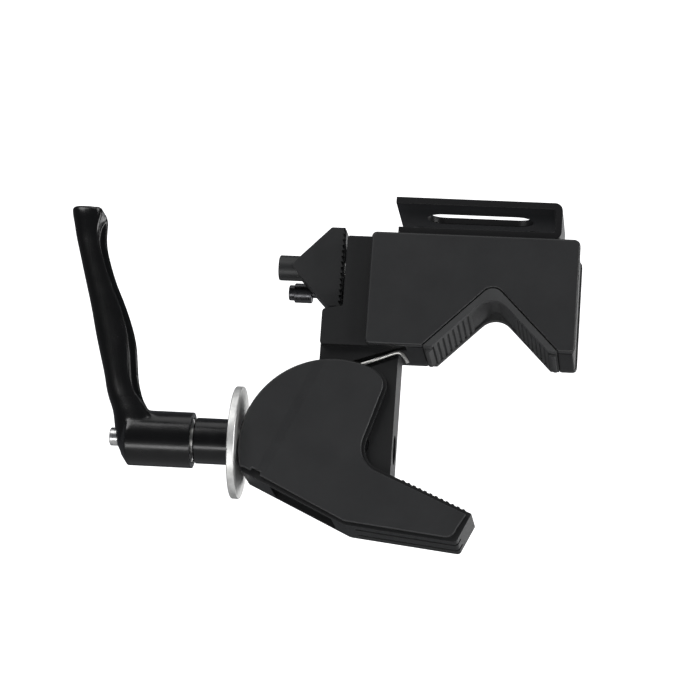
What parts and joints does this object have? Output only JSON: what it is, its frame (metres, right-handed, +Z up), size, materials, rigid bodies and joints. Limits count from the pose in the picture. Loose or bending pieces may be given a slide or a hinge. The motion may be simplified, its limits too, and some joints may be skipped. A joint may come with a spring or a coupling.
{
  "type": "pipe clamp",
  "caption": "Hand clamp for round pipe: a V-shaped upper jaw and a hinged lower jaw closed by a lever screw, with a slotted bracket and a hex stud socket on top.",
  "frame": {"origin": "bottom of the V seat in the upper jaw, on the clamp's middle plane", "axes": "+X towards the open end of the jaws, the lever screw lies along X on the -X side; +Z up towards the bracket; +Y to the rear"},
  "size_m": [0.1989, 0.043, 0.1326],
  "materials": {
    "cast_black": "fine textured powder coat on die-cast metal",
    "cover_black": "matt charcoal with fine moulded grain",
    "rubber_pad": "matt ribbed rubber",
    "gloss_black": "gloss black coat on die-cast zinc",
    "zinc_steel": "bright zinc-plated steel",
    "sheet_black": "satin black coated sheet steel",
    "bush_brass": "turned brass"
  },
  "bodies": {
    "frame": {"frame_casting": "cast_black", "front_cover": "cover_black", "rear_cover": "cover_black", "cover_screw_1": "zinc_steel", "cover_screw_2": "zinc_steel", "cover_screw_3": "zinc_steel", "v_pad": "rubber_pad", "top_bracket": "sheet_black", "bracket_screw_1": "zinc_steel", "bracket_screw_2": "zinc_steel", "hinge_bush_front": "bush_brass", "hinge_bush_rear": "bush_brass", "torsion_spring": "zinc_steel", "barrel_nut": "zinc_steel", "button_spring": "zinc_steel", "lock_plug": "bush_brass"},
    "lower_jaw": {"moving_jaw": "cast_black", "jaw_front_cover": "cover_black", "jaw_rear_cover": "cover_black", "jaw_cover_screw_1": "zinc_steel", "jaw_cover_screw_2": "zinc_steel", "jaw_pad": "rubber_pad", "hinge_pin": "zinc_steel"},
    "screw_carriage": {"thrust_washer": "zinc_steel"},
    "screw": {"clamp_screw": "zinc_steel", "screw_collar": "gloss_black", "ratchet_insert": "zinc_steel", "lever_screw": "zinc_steel", "lever_spring": "zinc_steel"},
    "lever_slider": {"spring_seat": "zinc_steel"},
    "lever": {"lever_handle": "gloss_black"},
    "wing": {"wing_knob": "cast_black", "wing_screw": "zinc_steel"},
    "button": {"lock_button": "sheet_black"}
  },
  "joints": [
    {"name": "jaw_close", "type": "hinge", "parent": "frame", "child": "lower_jaw", "pos_m": [-0.0562, 0, -0.037], "axis": [0, -1, 0], "range_deg": [0, 48], "deforming": ["torsion_spring"]},
    {"name": "screw_travel", "type": "slide", "parent": "frame", "child": "screw_carriage", "axis": [1, 0, 0], "range_m": [0, 0.0187]},
    {"name": "screw_turn", "type": "hinge", "parent": "screw_carriage", "child": "screw", "pos_m": [-0.11, 0, -0.0584], "axis": [1, 0, 0], "range_deg": [0, 4470]},
    {"name": "lever_lift", "type": "slide", "parent": "screw", "child": "lever_slider", "axis": [-1, 0, 0], "range_m": [0, 0.0045], "stiffness_N_per_m": 700, "springref_m": -0.003, "deforming": ["lever_spring"]},
    {"name": "lever_index", "type": "hinge", "parent": "lever_slider", "child": "lever", "pos_m": [-0.122, 0, -0.0584], "axis": [1, 0, 0], "continuous": true},
    {"name": "wing_turn", "type": "hinge", "parent": "frame", "child": "wing", "pos_m": [-0.07, 0, 0.0113], "axis": [-1, 0, 0], "range_deg": [0, 68]},
    {"name": "button_press", "type": "slide", "parent": "frame", "child": "button", "axis": [1, 0, 0], "range_m": [0, 0.003], "stiffness_N_per_m": 500, "springref_m": -0.002, "deforming": ["button_spring"]}
  ],
  "couplings": [
    {"joint": "screw_travel", "follows": "jaw_close", "m_per_rad": 0.0222},
    {"joint": "screw_turn", "follows": "jaw_close", "ratio": 92.99}
  ]
}
